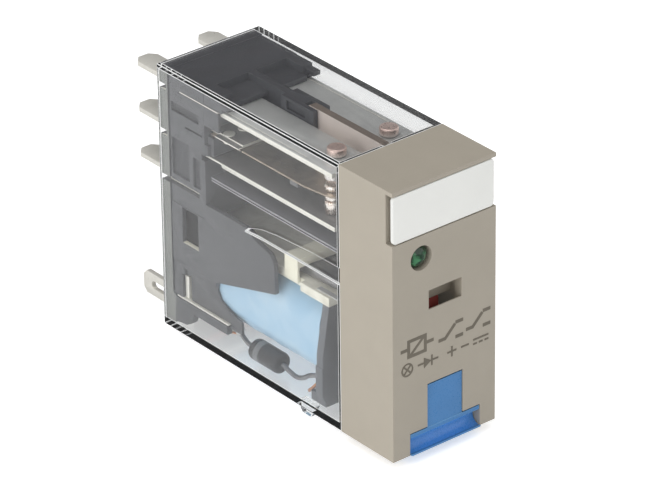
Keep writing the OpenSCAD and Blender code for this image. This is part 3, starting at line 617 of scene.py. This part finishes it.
# lamp wires, diode leads and coil wire ends: the CAD routes, round and smooth
LAMP_A = [[0.2, 4.24, 20.6], [0.2, 5.4, 20.6], [4.5, 5.6, 20.2], [4.72, 5.6, 18.5], [4.72, 5.6, 3.2], [4.72, 6.4, 1.9],
          [4.72, 8.6, 1.7], [4.72, 10.6, 1.2], [4.72, 13.4, 1.12], [4.72, 23.5, 1.12], [4.4, 25.0, 2.2], [4.3, 25.35, 2.55]]
LAMP_B = [[0.2, 4.24, 21.6], [0.2, 5.9, 21.6], [3.9, 6.3, 21.3], [4.25, 6.4, 19.5], [4.25, 6.4, 3.6], [4.25, 7.0, 2.3],
          [4.22, 8.8, 1.75], [4.2, 10.6, 1.2], [4.2, 13.4, 1.12], [4.2, 26.6, 1.12], [4.2, 30.4, 1.3], [3.4, 31.6, 2.0],
          [-3.3, 31.6, 2.4], [-3.9, 31.6, 2.75]]
bm = bmesh.new()
tube(bm, LAMP_A, 0.2)
tube(bm, LAMP_B, 0.2)
piece("lamp_wires", bm, M["red_wire"], replaces="led_leads")

bm = bmesh.new()
tube(bm, [[-4.55, 22.58, 2.17], [-4.55, 23.6, 2.17], [-4.4, 24.7, 2.5], [-4.32, 25.3, 2.8]], 0.24)
tube(bm, [[-4.55, 18.31, 2.17], [-4.55, 17.3, 1.85], [-4.55, 16.2, 1.7], [-4.55, 15.1, 2.1],
          [-4.55, 14.1, 2.8], [-4.55, 12.1, 3.6]], 0.24)
piece("surge_diode_leads", bm, M["steel"], replaces="diode_leads")

bm = bmesh.new()
tube(bm, [[-5.05, 12.2, 3.2], [-5.3, 12.6, 2.6], [-5.38, 13.2, 1.9], [-5.0, 13.62, 1.5], [-4.2, 13.6, 1.75], [4.3, 13.6, 1.75],
          [5.0, 14.1, 1.6], [5.34, 15.2, 1.1], [5.38, 16.4, 0.85], [5.38, 24.2, 0.85], [4.95, 25.0, 1.7], [4.55, 25.3, 2.4]], 0.12)
tube(bm, [[-4.62, 28.15, 4.55], [-4.85, 28.0, 3.3], [-4.8, 27.4, 2.55], [-4.8, 26.4, 2.45], [-4.62, 25.4, 2.6]], 0.12)
piece("coil_wire_ends", bm, M["copper"], replaces="coil_wire_tails")

# surge diode: moulded epoxy body
bm = bmesh.new()
lathe(bm, [(0.30, 0.0), (0.72, 0.0), (0.92, 0.05), (1.04, 0.16), (1.09, 0.34), (1.1, 0.5), (1.1, 3.7), (1.09, 3.86),
           (1.04, 4.04), (0.92, 4.15), (0.72, 4.2), (0.30, 4.2)], (-4.55, 18.35, 2.17), (0, 1, 0), 48)
piece("surge_diode", bm, M["diode"], replaces="diode")

# series resistor: body with bulged ends, and its leads
bm = bmesh.new()
lathe(bm, [(0.15, -0.02), (0.42, 0.0), (0.57, 0.12), (0.6, 0.35), (0.58, 0.6), (0.5, 0.8), (0.48, 1.6), (0.5, 2.4), (0.58, 2.6),
           (0.6, 2.85), (0.57, 3.08), (0.42, 3.2), (0.15, 3.22)], (-3.9, 4.95, 19.35), (1, 0, 0), 40)
res = piece("series_resistor", bm, M["resistor"], replaces="led_resistor")
bm = bmesh.new()
tube(bm, [[-3.85, 4.95, 19.35], [-4.35, 4.95, 19.35], [-4.5, 4.75, 19.35], [-4.5, 4.24, 19.35]], 0.2)
tube(bm, [[-0.75, 4.95, 19.35], [-0.25, 4.95, 19.35], [-0.1, 4.75, 19.35], [-0.1, 4.24, 19.35]], 0.2)
for x in (-4.5, -0.1):
    lathe(bm, [(0.5, 0.0), (0.46, 0.08), (0.32, 0.18), (0.24, 0.34), (0.0, 0.36)], (x, 4.2, 19.35), (0, 1, 0), 24)
for z in (20.6, 21.6):
    lathe(bm, [(0.48, 0.0), (0.45, 0.07), (0.32, 0.16), (0.25, 0.3), (0.0, 0.32)], (0.2, 4.2, z), (0, 1, 0), 24)
piece("lamp_board_solder", bm, M["solder"])

# status lamp: domed lens with a flange
bm = bmesh.new()
prof = [(0.0, 0.02)]
for k in range(1, 13):
    a = k / 12 * math.asin(0.8)
    prof.append((1.5 * math.sin(a), 1.52 - 1.5 * math.cos(a)))
prof += [(1.2, 2.68), (1.42, 2.7), (1.45, 2.74), (1.45, 3.3), (1.41, 3.35), (0.0, 3.35)]
lathe(bm, prof, (-2.84, 0, 20.85), (0, 1, 0), 48)
piece("status_lamp", bm, M["lens"], replaces="led")

# coil tape: film wrapped round the winding, slack on the flats
bm = bmesh.new()


def tape_ring(y, extra):
    pts = []
    hw, hh, rr = 5.05, 4.4, 2.9
    steps = 12
    for qx, qz, a0 in ((1, 1, 0), (-1, 1, 90), (-1, -1, 180), (1, -1, 270)):
        for k in range(steps + 1):
            a = math.radians(a0 + 90 * k / steps)
            pts.append((qx * (hw - rr) + rr * math.cos(a), qz * (hh - rr) + rr * math.sin(a)))
    out = []
    for i, (x, z) in enumerate(pts):
        f = 1 + extra * 0.004 * math.sin(3.1 * y + 0.9 * z + x) + extra * 0.004 * math.sin(1.3 * y - 0.7 * z)
        out.append((x * f, 7.5 + z * f))
    return out


ys = [12.04 + (28.26 - 12.04) * k / 40 for k in range(41)]
rings = []
for k, y in enumerate(ys):
    edge = min(k, 40 - k) / 40
    ring = tape_ring(y, min(1.0, edge * 8))
    rings.append([bm.verts.new(P(x, y, z)) for x, z in ring])
inner = []
for y in (ys[-1], ys[0]):
    inner.append([bm.verts.new(P(x * 0.962, y, 7.5 + (z - 7.5) * 0.955)) for x, z in tape_ring(y, 0)])
loop = rings + inner
n = len(rings[0])
for a, b in zip(loop, loop[1:] + loop[:1]):
    for k in range(n):
        bm.faces.new((a[k], a[(k + 1) % n], b[(k + 1) % n], b[k]))
piece("coil_wrap", bm, M["tape"], replaces="coil_tape", sharp=50)

# generic printed symbols on the front: coil, changeover contact, lamp and direct current
bm = bmesh.new()
Y0, Y1 = -0.010, 0.02
layer = 0


def mark(outline):
    """One printed stroke; every stroke lies a hair further out than the one before it."""
    global layer
    slab(bm, outline, Y0 - 0.0005 * layer, Y1)
    layer += 1


def rect(x0, z0, x1, z1):
    mark([(x0, z0), (x1, z0), (x1, z1), (x0, z1)])


def bar(x0, z0, x1, z1, w):
    d = Vector((x1 - x0, z1 - z0)).normalized() * (w / 2)
    nrm = Vector((-d.y, d.x))
    mark([(x0 - nrm.x, z0 - nrm.y), (x1 - nrm.x, z1 - nrm.y), (x1 + nrm.x, z1 + nrm.y), (x0 + nrm.x, z0 + nrm.y)])


def hoop(x, z, r, w, segs=36):
    for k in range(segs):
        a, b = 2 * math.pi * k / segs, 2 * math.pi * (k + 1) / segs
        mark([(x + (r - w) * math.cos(a), z + (r - w) * math.sin(a)), (x + r * math.cos(a), z + r * math.sin(a)),
                  (x + r * math.cos(b), z + r * math.sin(b)), (x + (r - w) * math.cos(b), z + (r - w) * math.sin(b))])


T = 0.36
rect(-5.4, 11.47, -4.55, 11.83)
rect(-4.6, 10.65, -4.6 + T, 12.65)
rect(-2.2 - T, 10.65, -2.2, 12.65)
rect(-4.6, 10.65, -2.2, 10.65 + T)
rect(-4.6, 12.65 - T, -2.2, 12.65)
bar(-4.2, 10.95, -2.6, 12.35, 0.3)
rect(-2.25, 11.47, -1.35, 11.83)
for dx in (0.0, 3.4):
    rect(-0.75 + dx, 11.0, 0.2 + dx, 11.0 + T)
    bar(0.05 + dx, 11.15, 1.3 + dx, 12.35, T)
    rect(1.35 + dx, 10.72, 2.3 + dx, 10.72 + T)
    rect(1.35 + dx, 12.3, 2.3 + dx, 12.3 + T)
W2 = 0.17
hoop(-4.6, 9.5, 0.72, W2)
bar(-5.05, 9.05, -4.15, 9.95, W2)
bar(-5.05, 9.95, -4.15, 9.05, W2)
bar(-3.3, 9.5, -2.55, 9.5, W2)
mark([(-2.55, 8.95), (-1.65, 9.5), (-2.55, 10.05)])
rect(-1.66, 8.95, -1.66 + W2, 10.05)
bar(-1.5, 9.5, -0.8, 9.5, W2)
rect(0.35, 9.42, 1.45, 9.42 + W2)
rect(0.82, 8.95, 0.82 + W2, 10.05)
rect(2.05, 9.42, 3.0, 9.42 + W2)
rect(3.55, 9.63, 5.45, 9.63 + W2)
for k in range(3):
    rect(3.55 + k * 0.72, 9.17, 3.55 + k * 0.72 + 0.46, 9.17 + W2)
piece("front_symbols", bm, M["ink"], smooth=False)

# ------------------------------------------------------------------ floor, light, camera

floor_bm = bmesh.new()
s = 6.0
for x, y in ((-s, -s), (s, -s), (s, s), (-s, s)):
    floor_bm.verts.new((x, y, -0.01536))
floor_bm.faces.new(floor_bm.verts)
fme = bpy.data.meshes.new("floor")
floor_bm.to_mesh(fme)
floor_bm.free()
floor = bpy.data.objects.new("floor", fme)
scene.collection.objects.link(floor)
fm, nt, out = new_mat("floor_pale")
fp = principled(nt, out)
tone = nt.nodes.new("ShaderNodeMix")
tone.data_type = "RGBA"
lit = ramp(nt, noise(nt, coords(nt), 0.02, 2.0), [(0.3, (0.93, 0.93, 0.93)), (0.7, (0.95, 0.95, 0.95))])
seen = nt.nodes.new("ShaderNodeLightPath")
clean = nt.nodes.new("ShaderNodeMath")
clean.operation = "SUBTRACT"
clean.use_clamp = True
nt.links.new(seen.outputs["Is Glossy Ray"], clean.inputs[0])
nt.links.new(seen.outputs["Is Transmission Ray"], clean.inputs[1])
nt.links.new(clean.outputs[0], tone.inputs["Factor"])
nt.links.new(lit, tone.inputs["A"])
tone.inputs["B"].default_value = (0.34, 0.34, 0.35, 1)
nt.links.new(tone.outputs["Result"], fp.inputs["Base Color"])
glow = nt.nodes.new("ShaderNodeMapRange")
glow.inputs["To Min"].default_value = 0.45
glow.inputs["To Max"].default_value = 0.0
nt.links.new(seen.outputs["Is Glossy Ray"], glow.inputs["Value"])
through = nt.nodes.new("ShaderNodeMath")
through.operation = "MULTIPLY_ADD"
through.inputs[1].default_value = 0.32
nt.links.new(seen.outputs["Is Transmission Ray"], through.inputs[0])
nt.links.new(glow.outputs["Result"], through.inputs[2])
nt.links.new(through.outputs[0], fp.inputs["Emission Strength"])
fp.inputs["Emission Color"].default_value = (1, 1, 1, 1)
fp.inputs["Roughness"].default_value = 0.9
fp.inputs["Specular IOR Level"].default_value = 0.1
fme.materials.append(fm)

world = bpy.data.worlds.new("studio")
scene.world = world
world.use_nodes = True
wn = world.node_tree
bg = wn.nodes["Background"]
bg.inputs["Strength"].default_value = 0.86
# studio walls: bright all round, with a grey wall behind the relay, low over the floor
tc = wn.nodes.new("ShaderNodeTexCoord")
dot = wn.nodes.new("ShaderNodeVectorMath")
dot.operation = "DOT_PRODUCT"
dot.inputs[1].default_value = (0.5522, 0.6819, 0.4796)
wn.links.new(tc.outputs["Generated"], dot.inputs[0])
grey = wn.nodes.new("ShaderNodeValToRGB")
grey.color_ramp.elements[0].position = 0.72
grey.color_ramp.elements[0].color = (1, 1, 1, 1)
grey.color_ramp.elements[1].position = 0.93
grey.color_ramp.elements[1].color = (0.16, 0.16, 0.17, 1)
wn.links.new(dot.outputs["Value"], grey.inputs["Fac"])
wn.links.new(grey.outputs["Color"], bg.inputs["Color"])


def lamp(name, at, size, power, colour=(1, 1, 1), target=(0, -17.65, 0)):
    d = bpy.data.lights.new(name, "AREA")
    d.shape = "RECTANGLE"
    d.size, d.size_y = size[0] * MM, size[1] * MM
    d.energy = power
    d.color = colour
    o = bpy.data.objects.new(name, d)
    scene.collection.objects.link(o)
    o.location = Vector(at) * MM
    way = (Vector(target) - Vector(at)).normalized()
    o.rotation_euler = way.to_track_quat("-Z", "Y").to_euler()
    return o


lamp("left_softbox", (-620, -60, 160), (420, 420), 1.1)
lamp("top_softbox", (-80, 60, 620), (460, 460), 0.75)

cam = bpy.data.cameras.new("camera")
cam.sensor_fit = "HORIZONTAL"
cam.sensor_width = 36
cam.lens = 274.721
cam.clip_start = 0.01
cam.clip_end = 50
co = bpy.data.objects.new("camera", cam)
scene.collection.objects.link(co)
R = Vector((0.7730565851979916, -0.6342298889904511, -0.011660359907848247))
U = Vector((0.3121508847296073, 0.36434677325851234, 0.8773900238654606))
F = Vector((0.5522185629300629, 0.6819119273977178, -0.4796360933334624))
rot = Matrix((R, U, -F)).transposed()
co.matrix_world = Matrix.Translation(Vector((-0.26158817, -0.34028297, 0.22697425))) @ rot.to_4x4()
scene.camera = co
